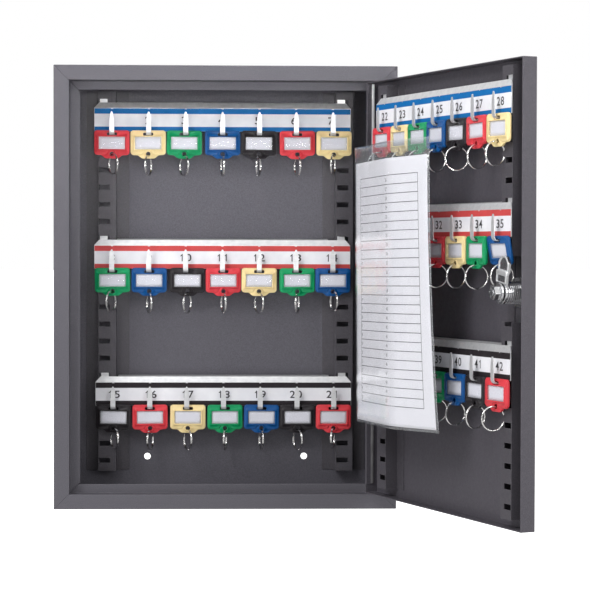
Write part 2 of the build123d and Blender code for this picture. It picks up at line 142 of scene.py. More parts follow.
class Material(Nodes):
    """A material whose textures lie in object space."""

    def __init__(self, name):
        self.material = bpy.data.materials.new(name)
        super().__init__(self.material)
        self.place = self.node("TexCoord").outputs["Object"]

    def finish(self, surface):
        self.node("OutputMaterial", {0: surface})
        return self.material

    def principled(self, **inputs):
        """Finish with a Principled shader; underscores in input names stand for spaces."""
        inputs = {key.replace("_", " "): value for key, value in inputs.items()}
        return self.finish(self.node("BsdfPrincipled", inputs).outputs[0])

    def noise(self, scale, detail=3.0, rough=0.55, stretch=None):
        place = self.place
        if stretch:
            place = self.node("Mapping", {"Vector": place, "Scale": stretch}).outputs[0]
        inputs = {"Scale": scale, "Detail": detail, "Roughness": rough, "Vector": place}
        return self.node("TexNoise", inputs).outputs["Fac"]

    def mix(self, factor, low, high):
        return self.node("Mix", {"Factor": factor, 6: low, 7: high}, data_type="RGBA").outputs[2]

    def fade(self, source, low, high, span, amount=1.0):
        """From low towards high, by up to the amount, as the source crosses the span."""
        return self.mix(self.remap(source, span, to=(0.0, amount)), low, high)

    def bump(self, height, strength, depth, over=None):
        inputs = {"Strength": strength, "Distance": depth, "Height": height}
        if over is not None:
            inputs["Normal"] = over
        return self.node("Bump", inputs).outputs[0]

    def edge(self, radius):
        """0 on flats to 1 at an edge, from how far the rounded normal leans."""
        rounded = self.node("Bevel", {"Radius": radius}, samples=4).outputs[0]
        flat = self.node("NewGeometry").outputs["Normal"]
        dot = self.node("VectorMath", {0: rounded, 1: flat}, operation="DOT_PRODUCT")
        return self.remap(dot.outputs["Value"], span=(0.93, 0.80), to=(0.0, 1.0))

    def height(self):
        return self.node("SeparateXYZ", {0: self.place}).outputs[2]


# ------------------------------------------------------------------ material kinds
def powder(name, srgb, rough=0.52, grain=1.0, wear_and_highlight=0.35):
    """Powder coat: speckle, slow tone drift, orange peel, edges lightened by wear and by a painted
    highlight, and a little dust.
    """
    m = Material(name)
    base = linear(*srgb)
    fine = m.noise(scale=1500, detail=2.0, rough=0.7)
    slow = m.noise(scale=7, detail=2.0)
    colour = m.fade(fine, shade(base, 0.78), shade(base, 1.25), span=(0.35, 0.65))
    colour = m.fade(slow, colour, shade(base, 1.12), span=(0.35, 0.7), amount=0.35)
    dust = m.noise(scale=420, detail=4.0, rough=0.8)
    colour = m.fade(dust, colour, linear(150, 147, 150), span=(0.66, 0.78), amount=0.22)
    # edges are lightened partly as wear and partly as a painted highlight
    edge = m.edge(radius=0.0009)
    scuff = m.noise(scale=160, detail=4.0, rough=0.7)
    worn_and_lit = m.math("MULTIPLY", edge, m.remap(scuff, span=(0.42, 0.62), to=(0.15, 1.0)))
    colour = m.mix(m.math("MULTIPLY", worn_and_lit, wear_and_highlight), colour, linear(150, 149, 154))
    gloss = m.remap(m.noise(scale=300), span=(0.3, 0.7), to=(rough - 0.07, rough + 0.09))
    peel = m.noise(scale=700, detail=2.0)
    normal = m.bump(peel, strength=0.22 * grain, depth=0.0004)
    normal = m.bump(fine, strength=0.30 * grain, depth=0.00018, over=normal)
    return m.principled(
        Base_Color=colour, Metallic=0.12, Specular_IOR_Level=0.5, Roughness=gloss, Normal=normal
    )


def zinc(name, tone, rough, streak=(3, 90, 90), metal=1.0, painted_shade_span=None):
    """Zinc plating: rolled streaks, soft spangle and fine scratches.

    The last argument gives the heights in mm between which a painted shade darkens the colour,
    darker towards the second height.
    """
    m = Material(name)
    rolled = m.noise(scale=14, detail=5.0, rough=0.65, stretch=streak)
    spangle = m.node("TexVoronoi", {"Scale": 220, "Vector": m.place}).outputs["Distance"]
    fine = m.noise(scale=1200, detail=2.0)
    pattern = m.math("ADD", m.math("MULTIPLY", rolled, 0.7), m.math("MULTIPLY", spangle, 0.3))
    dark = [tone * k for k in (0.86, 0.87, 0.90)]
    light = [min(1.0, tone * k) for k in (1.12, 1.12, 1.13)]
    colour = m.fade(pattern, dark, light, span=(0.25, 0.75))
    spots = m.noise(scale=90, detail=4.0, rough=0.8)
    colour = m.fade(spots, colour, (0.42, 0.42, 0.44), span=(0.66, 0.78), amount=0.25)
    if painted_shade_span:
        # painted shade: the colour darkens between the two heights, with an uneven edge
        grow = m.remap(m.height(), span=(painted_shade_span[0] * MM, painted_shade_span[1] * MM), to=(0.0, 0.9))
        uneven = m.remap(m.noise(scale=60), span=(0.3, 0.7), to=(-0.05, 0.10))
        colour = m.mix(m.math("ADD", grow, uneven, clamp=True), colour, (0.13, 0.125, 0.13))
    gloss = m.remap(pattern, span=(0.2, 0.8), to=(rough + 0.10, rough - 0.06))
    relief = m.math("ADD", m.math("MULTIPLY", rolled, 0.6), fine)
    normal = m.bump(relief, strength=0.12, depth=0.0002)
    return m.principled(Base_Color=colour, Metallic=metal, Roughness=gloss, Normal=normal)


def nickel(name, tone, rough):
    """Bright plating with hairline scratches and handling haze."""
    m = Material(name)
    haze = m.noise(scale=160, detail=4.0, rough=0.7)
    hair = m.noise(scale=900, detail=2.0, rough=0.6, stretch=(1.0, 0.15, 3.0))
    return m.principled(
        Base_Color=m.fade(haze, shade(tone, 0.88), tone, span=(0.3, 0.7)),
        Metallic=1.0,
        Roughness=m.remap(haze, span=(0.3, 0.75), to=(rough - 0.05, rough + 0.12)),
        Normal=m.bump(hair, strength=0.10, depth=0.0001),
    )


def tag_plastic(name, srgb, rough=0.33):
    """Moulded plastic with a fine grain, flow tone and a painted highlight along its edges."""
    m = Material(name)
    base = linear(*srgb)
    flow = m.noise(scale=55, rough=0.5)
    colour = m.fade(flow, shade(base, 0.90), shade(base, 1.07, plus=0.004), span=(0.3, 0.7))
    # painted highlight: the edges are lightened towards a pale tint
    edge_highlight = m.math("MULTIPLY", m.edge(radius=0.0005), 0.22)
    colour = m.mix(edge_highlight, colour, shade(base, 0.7, plus=0.28))
    gloss = m.remap(m.noise(scale=380), span=(0.3, 0.7), to=(rough - 0.05, rough + 0.10))
    grain = m.noise(scale=2600, detail=2.0, rough=0.6)
    return m.principled(
        Base_Color=colour,
        Specular_IOR_Level=0.30,
        Subsurface_Weight=0.05,
        Subsurface_Radius=(0.0012, 0.0008, 0.0006),
        Subsurface_Scale=0.5,
        Roughness=gloss,
        Normal=m.bump(grain, strength=0.16, depth=0.00012),
    )


def paper(name, srgb):
    """Matt paper with fibres and a faint cloudiness."""
    m = Material(name)
    base = linear(*srgb)
    fibre = m.noise(scale=1800, detail=4.0, rough=0.8)
    cloud = m.noise(scale=60)
    colour = m.fade(fibre, shade(base, 0.95), shade(base, 1.03), span=(0.3, 0.7))
    colour = m.fade(cloud, colour, shade(base, 0.86), span=(0.35, 0.7), amount=0.10)
    normal = m.bump(fibre, strength=0.15, depth=0.00008)
    return m.principled(
        Base_Color=colour, Roughness=0.85, Specular_IOR_Level=0.25, Normal=normal
    )


def ink(name, srgb):
    """Printed ink: broken coverage and a faint sheen."""
    m = Material(name)
    base = linear(*srgb)
    cover = m.noise(scale=1500, rough=0.8)
    return m.principled(
        Base_Color=m.fade(cover, base, shade(base, 1.7, plus=0.02), span=(0.35, 0.75)),
        Roughness=m.remap(cover, span=(0.3, 0.7), to=(0.40, 0.60)),
        Normal=m.bump(cover, strength=0.1, depth=0.00003),
    )


def clear(name, haze, rough, gloss, wrinkle=0.0):
    """Thin clear plastic: see-through without bending light, with a sheen, haze and scratches."""
    m = Material(name)
    scratch = m.noise(scale=700, detail=4.0, rough=0.8, stretch=(1.0, 1.0, 0.25))
    blur = m.remap(scratch, span=(0.3, 0.8), to=(rough * 0.7, rough * 2.2))
    if wrinkle:
        waves = m.noise(scale=26, rough=0.5)
        normal = m.bump(waves, strength=wrinkle, depth=0.003)
        normal = m.bump(scratch, strength=0.05, depth=0.0001, over=normal)
    else:
        normal = m.bump(scratch, strength=0.06, depth=0.0001)
    through = m.node("BsdfTransparent", {0: (0.97, 0.98, 0.985)}).outputs[0]
    shine = m.node("BsdfGlossy", {"Color": (1, 1, 1), "Roughness": blur, "Normal": normal})
    milky = m.node("BsdfDiffuse", {0: (0.86, 0.87, 0.88)}).outputs[0]
    fresnel = m.node("Fresnel", {"IOR": 1.47, "Normal": normal}).outputs[0]
    cloud = m.remap(m.noise(scale=40), span=(0.3, 0.7), to=(haze * 0.7, haze * 1.3))
    body = m.node("MixShader", {0: cloud, 1: through, 2: milky}).outputs[0]
    # only outward faces shine
    front = m.math("SUBTRACT", 1.0, m.node("NewGeometry").outputs["Backfacing"])
    sheen = m.math("MULTIPLY", m.math("MULTIPLY", fresnel, gloss), front, clamp=True)
    return m.finish(m.node("MixShader", {0: sheen, 1: body, 2: shine.outputs[0]}).outputs[0])


def label_bands(name, srgb, top):
    """Three printed bands on vinyl: colour, white, colour. top is the plate's top in mm."""
    m = Material(name)
    base = linear(*srgb)
    z = m.height()
    wobble = m.math("SUBTRACT", m.noise(scale=900, detail=2.0), 0.5)
    z = m.math("ADD", z, m.math("MULTIPLY", wobble, 0.00012))
    upper = m.remap(z, span=((top - 5.25) * MM, (top - 5.10) * MM), to=(0.0, 1.0))
    lower = m.remap(z, span=((top - 16.85) * MM, (top - 16.70) * MM), to=(1.0, 0.0))
    band = m.math("ADD", upper, lower, clamp=True)
    tone = m.noise(scale=60)
    grain = m.noise(scale=1600, detail=2.0, rough=0.7)
    colour = m.fade(tone, shade(base, 0.90), shade(base, 1.08, plus=0.003), span=(0.3, 0.7))
    flecks = m.noise(scale=240, detail=5.0, rough=0.85)
    pale = shade(base, 0.6, plus=0.25)
    colour = m.fade(flecks, colour, pale, span=(0.66, 0.76), amount=0.30)
    white = m.fade(tone, linear(226, 226, 232), linear(240, 240, 244), span=(0.3, 0.7))
    gloss = m.noise(scale=260, detail=4.0, rough=0.7)
    return m.principled(
        Base_Color=m.mix(band, white, colour),
        Specular_IOR_Level=0.22,
        Roughness=m.remap(gloss, span=(0.3, 0.7), to=(0.50, 0.66)),
        Normal=m.bump(grain, strength=0.08, depth=0.00006),
    )


# ------------------------------------------------------------------ materials
shell_coat = powder("shell_coat", (87, 85, 92))
inside_coat = powder("inside_coat", (87, 85, 93), rough=0.55, grain=1.2, wear_and_highlight=0.2)
# the case's graphite paint made darker on the door: painted shade
door_coat = powder("door_coat", (78, 75, 82), rough=0.55, grain=1.1)
upright_coat = powder("upright_coat", (74, 71, 77), rough=0.48, grain=0.7, wear_and_highlight=0.5)
rail_zinc = zinc("rail_zinc", tone=0.72, rough=0.44, metal=0.70)
hinge_plating = nickel("hinge_plating", tone=(0.78, 0.78, 0.79), rough=0.20)
lock_plating = nickel("lock_plating", tone=(0.60, 0.60, 0.62), rough=0.15)
cam_zinc = zinc("cam_zinc", tone=0.66, rough=0.16, streak=(40, 40, 5))
# a brighter copy of the cam's zinc, as a painted highlight on its raised relief
rim_highlight_zinc = zinc("cam_rim_highlight_zinc", tone=0.95, rough=0.30, streak=(40, 40, 5), metal=0.8)
# near-white tone as a painted highlight on the hem strip, fading into painted shade towards its
# foot
hem_highlight_zinc = zinc(
    "hem_strip_painted_light", tone=0.96, rough=0.36, streak=(60, 60, 2), metal=0.2, painted_shade_span=(40, -90)
)
ring_plating = nickel("ring_plating", tone=(0.86, 0.85, 0.84), rough=0.12)
insert_card = paper("insert_card", (232, 228, 236))
index_paper = paper("index_paper", (240, 236, 241))
label_ink = ink("label_ink", (40, 37, 42))
index_ink = ink("index_ink", (46, 44, 50))
window_clear = clear("window_clear", haze=0.06, rough=0.22, gloss=0.30)
sleeve_film = clear("sleeve_film", haze=0.035, rough=0.12, gloss=1.15, wrinkle=0.40)
TAG_COLOURS = {
    "R": (218, 60, 70),
    "Y": (244, 220, 162),
    "G": (0, 150, 92),
    "B": (0, 78, 142),
    "K": (34, 30, 34),
}
tag_plastics = [tag_plastic("tag_plastic_" + key, srgb) for key, srgb in TAG_COLOURS.items()]
LABEL_COLOURS = ((0, 104, 172), (202, 74, 74), (38, 33, 37))


# ------------------------------------------------------------------ CAD pieces
def dress(node, material):
    piece = nodes[node]
    if not piece.material_slots:
        piece.data.materials.append(material)
    for slot in piece.material_slots:
        slot.material = material
    return piece


def soften(piece, width, segments=2):
    """Weld the mesh and round its edges, by modifiers only."""
    weld = piece.modifiers.new("weld", "WELD")
    weld.merge_threshold = 1e-5
    bevel = piece.modifiers.new("edges", "BEVEL")
    bevel.width = width * MM
    bevel.segments = segments
    bevel.limit_method = "ANGLE"
    bevel.angle_limit = math.radians(35)
    bevel.use_clamp_overlap = True
    bevel.miter_outer = "MITER_ARC"
    piece.modifiers.new("normals", "WEIGHTED_NORMAL").keep_sharp = False


UPRIGHTS = [f"upright_{where}_{side}" for where in ("case", "door") for side in ("left", "right")]
# nodes, material, bevel width (0 for none), bevel segments
CAD_LOOKS = (
    (("shell_left", "shell_right", "shell_top", "shell_bottom"), shell_coat, 0.45, 3),
    (("back_panel",), inside_coat, 0, 0),
    (UPRIGHTS, upright_coat, 0.3, 2),
    (("door_pan",), door_coat, 0.4, 3),
    (("hinge_leaf_case", "hinge_leaf_door"), hinge_plating, 0.15, 2),
    (("hinge_pin",), hinge_plating, 0, 0),
    (("hem_strip",), hem_highlight_zinc, 0.2, 2),
    (("lock_body", "lock_plug"), lock_plating, 0.18, 2),
    (("lock_cam", "cam_washer", "cam_nut", "lock_clip"), cam_zinc, 0.2, 2),
)
for names, material, width, segments in CAD_LOOKS:
    for name in names:
        piece = dress(name, material)
        if width:
            soften(piece, width, segments)
for r in range(RAILS):
    soften(dress(f"rail_{r + 1}", rail_zinc), width=0.18)
    bands = label_bands(f"label_bands_{r + 1}", LABEL_COLOURS[r % 3], RAIL_Z[r])
    dress(f"label_strip_{r + 1}", bands)


# ------------------------------------------------------------------ mesh helpers
def new_object(name, data):
    piece = bpy.data.objects.new(name, data)
    scene.collection.objects.link(piece)
    return piece


def add(name, mesh, material, matrix, body, smooth=True):
    """A placed object that rides on a body; its material belongs to the object."""
    piece = new_object(name, mesh)
    if not mesh.materials:
        mesh.materials.append(material)
    piece.material_slots[0].link = "OBJECT"
    piece.material_slots[0].material = material
    piece.matrix_world = matrix
    if smooth:
        for face in mesh.polygons:
            face.use_smooth = True
    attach(piece, body)
    return piece


def smooth_step(x):
    x = min(max(x, 0.0), 1.0)
    return x * x * (3 - 2 * x)


def spread(start, length, steps):
    return [start + length * i / steps for i in range(steps + 1)]


def arc(cx, cz, radius, start, end, steps):
    """Points in x and z, angles in degrees."""
    angles = [math.radians(start + (end - start) * i / steps) for i in range(steps + 1)]
    return [(cx + radius * math.cos(a), cz + radius * math.sin(a)) for a in angles]


def rounded_rect(x0, x1, z0, z1, radius, steps=3):
    """Counter-clockwise in x and z."""
    return (
        arc(x1 - radius, z1 - radius, radius, 0, 90, steps)
        + arc(x0 + radius, z1 - radius, radius, 90, 180, steps)
        + arc(x0 + radius, z0 + radius, radius, 180, 270, steps)
        + arc(x1 - radius, z0 + radius, radius, 270, 360, steps)
    )


def mirrored(points):
    """The outline closed by its mirror image across x = 0."""
    return points + [(-x, z) for x, z in reversed(points) if x]


def inside(point, loop):
    """Whether the loop goes round the point, by counting crossings."""
    within = False
    for i, (x1, z1) in enumerate(loop):
        x2, z2 = loop[(i + 1) % len(loop)]
        if (z1 > point[1]) != (z2 > point[1]):
            if point[0] < (x2 - x1) * (point[1] - z1) / (z2 - z1) + x1:
                within = not within
    return within


def finish_mesh(bm, name):
    mesh = bpy.data.meshes.new(name)
    bm.to_mesh(mesh)
    bm.free()
    return mesh


def add_face(bm, verts):
    # bmesh refuses a face that is there already; one copy is enough
    try:
        return [bm.faces.new(verts)]
    except ValueError:
        return []


def drop_loose(bm):
    for vert in [v for v in bm.verts if not v.link_faces]:
        bm.verts.remove(vert)


def plate(name, outline, holes, y0, y1):
    """Flat plate with holes, outlined in x and z, from y0 to y1."""
    points, edges = [], []
    for loop in [outline] + holes:
        first, count = len(points), len(loop)
        points += [Vector(p) for p in loop]
        edges += [(first + i, first + (i + 1) % count) for i in range(count)]
    flat, _, triangles, *_ = geometry.delaunay_2d_cdt(points, edges, [], 1, 1e-6)
    bm = bmesh.new()
    verts = [bm.verts.new((p[0] * MM, y1 * MM, p[1] * MM)) for p in flat]
    faces = []
    for corners in triangles:
        centre = sum((flat[i] for i in corners), Vector((0, 0))) / len(corners)
        if inside(centre, outline) and not any(inside(centre, hole) for hole in holes):
            faces += add_face(bm, [verts[i] for i in corners])
    drop_loose(bm)
    extruded = bmesh.ops.extrude_face_region(bm, geom=faces)["geom"]
    moved = [item for item in extruded if isinstance(item, bmesh.types.BMVert)]
    bmesh.ops.translate(bm, verts=moved, vec=(0, (y0 - y1) * MM, 0))
    bmesh.ops.recalc_face_normals(bm, faces=bm.faces)
    return finish_mesh(bm, name)


def evaluated(piece, *helpers):
    """The object's final mesh; the object and its helpers are removed."""
    depsgraph = bpy.context.evaluated_depsgraph_get()
    depsgraph.update()
    mesh = bpy.data.meshes.new_from_object(piece.evaluated_get(depsgraph))
    for item in (piece, *helpers):
        bpy.data.objects.remove(item)
    return mesh


def baked(mesh, name, kind, **settings):
    """A copy of the mesh with one modifier applied."""
    piece = new_object(name, mesh)
    modifier = piece.modifiers.new(kind.lower(), kind)
    for key, value in settings.items():
        setattr(modifier, key, value)
    result = evaluated(piece)
    result.name = name
    return result


def bevelled(mesh, name, width, segments=2):
    return baked(
        mesh, name, "BEVEL", width=width * MM, segments=segments, limit_method="ANGLE",
        angle_limit=math.radians(30), use_clamp_overlap=True,
    )


def thickened(mesh, name, thickness):
    return baked(mesh, name, "SOLIDIFY", thickness=thickness * MM, offset=0.0)


def quad(bm, grid, i, j, flip=False):
    a, b, c, d = grid[j][i], grid[j][i + 1], grid[j + 1][i + 1], grid[j + 1][i]
    bm.faces.new((a, d, c, b) if flip else (a, b, c, d))


def surface(bm, across, down, point, flip=False):
    """Grid of quads through point(u, v)."""
    grid = [[bm.verts.new(point(u, v)) for u in across] for v in down]
    for j in range(len(down) - 1):
        for i in range(len(across) - 1):
            quad(bm, grid, i, j, flip)


# ------------------------------------------------------------------ key tags
# A tag's frame has its origin at the middle of its top edge; -y is its window side.
TAG_HALF_WIDTH, TAG_BOTTOM, LOBE_BOTTOM = 15.9, -22.2, -25.3
RING_HOLE_Z, RING_HOLE_RADIUS, HUB_RADIUS = -21.2, 2.0, 3.0
NOTCH_HALF_WIDTH, NOTCH_HEIGHT = 5.6, 3.9
BODY_INSET = 0.7  # thick body, in from the thin plate's edge


def tag_outline(inset=0.0, lobe=True):
    """Rounded tag with a lobe hanging from its foot, or with an arched notch cut into it."""
    x, top, bottom = TAG_HALF_WIDTH - inset, -inset, TAG_BOTTOM + inset
    r1, r2 = 2.6 - inset * 0.5, 3.0 - inset * 0.5  # top and bottom corners
    angles = spread(0.0, math.pi / 2, 6)
    points = [(0.0, top)]
    points += [(x - r1 + r1 * math.sin(a), top - r1 + r1 * math.cos(a)) for a in angles]
    points += [(x - r2 + r2 * math.cos(a), bottom + r2 - r2 * math.sin(a)) for a in angles]
    if lobe:
        depth = LOBE_BOTTOM - TAG_BOTTOM
        for i in range(1, 9):
            k = i / 8.0
            points.append((10.4 - 5.6 * k, bottom + depth * smooth_step(k)))
        points += [(2.4, bottom + depth), (0.0, bottom + depth)]
    else:
        for i in range(10):
            a = math.radians(90.0 * i / 10)
            notch_x, notch_z = NOTCH_HALF_WIDTH * math.cos(a), NOTCH_HEIGHT * math.sin(a)
            points.append((notch_x, bottom + notch_z))
        points.append((0.0, bottom + NOTCH_HEIGHT))
    return mirrored(points)


def tag_circle(radius):
    return arc(0, RING_HOLE_Z, radius, 0, 345, 23)


def tag_mesh():
    """Thin plate, body, rear, window rim and ring hub joined into one."""
    slot = rounded_rect(-4.6, 4.6, -4.7, -1.9, 0.9)
    hole = tag_circle(RING_HOLE_RADIUS)
    window = rounded_rect(-12.1, 12.1, -17.2, -5.5, 0.7)
    rim = rounded_rect(-13.1, 13.1, -18.2, -5.05, 1.2, steps=4)
    rim_hole = rounded_rect(-12.05, 12.05, -17.15, -5.55, 0.7)
    notched = tag_outline(BODY_INSET, lobe=False)
    # name, outline, holes, y0, y1, bevel width, bevel segments
    layers = (
        ("thin", tag_outline(), [slot, hole, window], -1.0, 1.0, 0.30, 2),
        ("body", notched, [slot, window], -1.75, -0.2, 0.45, 3),
        ("rear", notched, [slot], -0.45, 1.75, 0.45, 2),
        ("rim", rim, [rim_hole], -2.0, -1.2, 0.22, 2),
        ("hub", tag_circle(HUB_RADIUS), [hole], -1.3, 1.3, 0.25, 2),
    )
    base, *others = [
        new_object(name, bevelled(plate(name, outline, holes, y0, y1), name, width, segments))
        for name, outline, holes, y0, y1, width, segments in layers
    ]
    for other in others:
        union = base.modifiers.new("union", "BOOLEAN")
        union.operation = "UNION"
        union.solver = "EXACT"
        union.object = other
    mesh = evaluated(base, *others)
    mesh.name = "key_tag"
    mesh.materials.clear()
    return mesh


def window_mesh():
    pane = plate("pane", rounded_rect(-12.0, 12.0, -17.1, -5.6, 0.6), [], -1.6, -0.75)
    return bevelled(pane, "tag_window", width=0.2)


def insert_mesh(bow):
    """Paper slip, very slightly bowed behind the window."""

    def point(u, v):
        y = -0.52 - bow * math.sin(math.pi * u)
        return (-11.8 + 23.6 * u) * MM, y * MM, (-17.0 + 11.3 * v) * MM

    bm = bmesh.new()
    surface(bm, spread(0, 1, 10), spread(0, 1, 4), point)
    return thickened(finish_mesh(bm, "slip"), "tag_insert", thickness=0.14)


RING_RADIUS = 9.25
WIRE_HALF_X, WIRE_HALF_RADIAL = 0.41, 0.56
RING_TURNS, RING_SHIFT = 1.93, 0.43  # shift: each turn's offset along x
RING_STEPS, WIRE_SIDES = 150, 10


def split_ring_mesh(phase):
    """Two turns of flattened wire wound side by side along x, ends cut square."""

    def squarish(value):
        return math.copysign(abs(value) ** 0.78, value)

    section = []
    for i in range(WIRE_SIDES):
        a = 2 * math.pi * i / WIRE_SIDES
        section.append(
            (WIRE_HALF_X * squarish(math.cos(a)), WIRE_HALF_RADIAL * squarish(math.sin(a)))
        )
    bm = bmesh.new()
    loops = []
    for j in range(RING_STEPS + 1):
        t = j / RING_STEPS
        angle = math.radians(phase + 360.0 * RING_TURNS * t)
        # the wire stays flat for most of a turn and crosses over in a short step
        x = -RING_SHIFT + 2 * RING_SHIFT * smooth_step((RING_TURNS * t - 0.90) / 0.14)
        loop = []
        for dx, dr in section:
            r = RING_RADIUS + dr
            place = ((x + dx) * MM, r * math.cos(angle) * MM, r * math.sin(angle) * MM)
            loop.append(bm.verts.new(place))
        loops.append(loop)
    for here, after in zip(loops, loops[1:]):
        for i in range(WIRE_SIDES):
            k = (i + 1) % WIRE_SIDES
            bm.faces.new((here[i], here[k], after[k], after[i]))
    bm.faces.new(list(reversed(loops[0])))
    bm.faces.new(loops[-1])
    bmesh.ops.recalc_face_normals(bm, faces=bm.faces)
    return finish_mesh(bm, "split_ring")


TAG_MESH, WINDOW_MESH = tag_mesh(), window_mesh()
INSERT_MESHES = [insert_mesh(bow) for bow in (0.048, 0.08)]
RING_MESHES = [split_ring_mesh(phase) for phase in (35.0, 150.0, 250.0)]

# Small hanging errors, one line per rail and one entry per hook.
# turn of each ring about z, degrees
RING_YAW = (
    (27, -14, 25, 8, -11, 14, -13),
    (-25, 16, -21, 12, 25, -12, 16),
    (26, -15, 23, -8, 9, 24, -13),
    (-9, 12, -8, 13, -15, 9, 8),
    (9, -12, 6, -10, 9, -7, -8),
    (-7, 8, 12, -10, 6, 11, -8),
)
# turn of each tag about y and about z, degrees
TAG_TURNS = (
    ((0.4, 1.0), (-0.3, -1.0), (0.5, 0.5), (0.0, 0.8), (0.9, -1.2), (-0.5, 1.0), (0.4, -1.0)),
    ((-0.4, 1.5), (0.2, -1.0), (0.6, 1.0), (-0.3, 0.5), (0.3, -1.5), (-0.4, 1.0), (0.2, 0.5)),
    ((0.8, -2.5), (-0.4, 1.0), (0.3, -1.0), (-0.2, 1.0), (0.5, 0.5), (-0.3, -1.0), (0.3, 1.0)),
    ((-0.2, 1.0), (0.5, -1.0), (-0.4, 1.5), (0.3, -1.0), (0.6, 1.0), (-0.5, -1.0), (0.4, 2.0)),
    ((0.3, 1.0), (-0.3, -1.0), (0.4, 1.0), (0.5, -0.5), (-0.5, 0.5), (0.3, -1.5), (0.0, 0.3)),
    ((0.2, 1.0), (-0.4, -1.0), (0.4, 1.0), (-0.3, 1.0), (-0.6, 1.2), (0.6, -1.0), (0.3, 2.0)),
)
# shift of each tag along its rail, mm
TAG_SHIFT = (
    (0.0, -0.7, -1.2, 0.0, -0.3, 0.9, 1.0),
    (0.4, 0.4, 1.8, 0.8, 0.0, 1.0, 0.3),
    (0.6, 0.0, 1.1, 1.3, 1.3, 0.6, 0.0),
    (0.2, 0.6, 0.4, -0.4, 0.8, 0.3, 0.9),
    (0.0, 0.3, -0.2, 0.0, 0.0, 0.6, 0.3),
    (0.0, 0.2, 0.0, 0.4, -0.3, 0.2, 0.3),
)
TAG_OFF, TAG_TOP = 5.2, -20.3  # tag's origin in the rail's frame
PIVOT = 0.3  # below the tag's top
END_LEAN = -20.0  # rings on the end hooks
HELD_TAG, HELD_ANGLE = (4, 6), 10.5  # rail and hook of the one tilted tag


def about_pivot(rotation):
    return move(0, 0, -PIVOT) @ rotation @ move(0, 0, PIVOT)


def hang_tag(r, i):
    """Tag, paper insert, window and split ring on hook i of rail r."""
    number = r * HOOKS + i + 1
    x = (i - (HOOKS - 1) // 2) * HOOK_PITCH + TAG_SHIFT[r][i]
    at = RAIL_FRAMES[r] @ move(x, -TAG_OFF, TAG_TOP)
    lean = END_LEAN if i in (0, HOOKS - 1) else 0.0
    if (r, i) == HELD_TAG:
        at = at @ about_pivot(turn(HELD_ANGLE, "X"))
        lean = -HELD_ANGLE
    roll, yaw = TAG_TURNS[r][i]
    at = at @ about_pivot(turn(roll, "Y") @ turn(yaw, "Z"))
    ring_at = at @ move(0, 0, RING_HOLE_Z - (0.6 if lean else 1.2))
    ring_at = ring_at @ turn(RING_YAW[r][i], "Z") @ turn(lean, "X") @ move(0, 0, -RING_RADIUS)
    # the colours run in turn and start again on the door
    plastic = tag_plastics[(number - 1) % 21 % len(tag_plastics)]
    # name, mesh, material, place, slot, CAD piece replaced
    parts = (
        ("key_tag", TAG_MESH, plastic, at, None, "tags"),
        ("tag_insert", INSERT_MESHES[number % 2], insert_card, at, "insert_paper", "tag_inserts"),
        ("tag_window", WINDOW_MESH, window_clear, at, "clear_window", "tag_windows"),
        ("split_ring", RING_MESHES[number % 3], ring_plating, ring_at, "ring_steel", "split_rings"),
    )
    body = f"tag_row_{r + 1}"
    for name, mesh, material, place, slot, replaced in parts:
        piece = add(f"{name}_{number:02d}", mesh, material, place, body)
        if i == 0:
            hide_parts(f"{replaced}_{r + 1}")


for r in range(RAILS):
    for i in range(HOOKS):
        hang_tag(r, i)


# ------------------------------------------------------------------ hook numbers
TEXT_HALF_DEPTH = 0.012
DIGIT_HEIGHT = 6.7
# outline of the digit one, x and z as shares of its height
ONE = (
    (-0.02, -0.5), (0.115, -0.5), (0.115, 0.5), (0.01, 0.5),
    (-0.05, 0.38), (-0.19, 0.27), (-0.19, 0.15), (-0.02, 0.24),
)
NUMBER_OFF, NUMBER_Z = 3.27, -11.0  # off the rail's back and below its top
# shift of each number along its rail, one line per rail
NUMBER_SHIFT = (
    (-0.6, -1.1, -1.5, -1.7, -1.7, -2.1, -1.9),
    (0.0, 0.0, -0.4, 0.0, -0.4, -0.7, -1.0),
    (0.4, 0.4, 0.6, 0.1, -0.4, -0.8, -0.8),
    (0.6, 0.5, 0.3, 0.2, 0.0, -0.3, -0.3),
    (0.5, 0.3, 0.2, 0.0, 0.0, -0.2, -0.3),
    (0.5, 0.3, 0.2, 0.0, 0.0, -0.2, -0.3),
)


def text_mesh(text, height, width=None, weight=0.0):
    """Text of a set height, centred, upright and facing -y."""
    curve = bpy.data.curves.new("text", "FONT")
    curve.body = text
    curve.align_x = "CENTER"
    curve.align_y = "CENTER"
    curve.size = height * MM / 0.70
    curve.extrude = TEXT_HALF_DEPTH * MM
    curve.offset = weight * MM
    curve.resolution_u = 4
    mesh = evaluated(new_object("text", curve))
    xs = [v.co.x for v in mesh.vertices]
    ys = [v.co.y for v in mesh.vertices]
    scale_y = height * MM / (max(ys) - min(ys))
    scale_x = width * MM / (max(xs) - min(xs)) if width else scale_y
    centre = (0.5 * (max(xs) + min(xs)), 0.5 * (max(ys) + min(ys)))
    mesh.transform(Matrix.Translation((-centre[0], -centre[1], 0)))
    mesh.transform(Matrix.Diagonal((scale_x, scale_y, 1, 1)))
    mesh.transform(turn(90, "X"))
    return mesh


def number_mesh(label):
    """One or two digits; the one has a flag and a plain stem."""
    h = DIGIT_HEIGHT
    bm = bmesh.new()
    for k, digit in enumerate(label):
        if digit == "1":
            outline = [(x * h, z * h) for x, z in ONE]
            mesh = plate("one", outline, [], -TEXT_HALF_DEPTH, TEXT_HALF_DEPTH)
        else:
            mesh = text_mesh(digit, h, width=0.72 * h, weight=0.11)
        mesh.transform(move(0.93 * h * (k - (len(label) - 1) / 2), 0, 0))
        bm.from_mesh(mesh)
        bpy.data.meshes.remove(mesh)
    return finish_mesh(bm, "number")


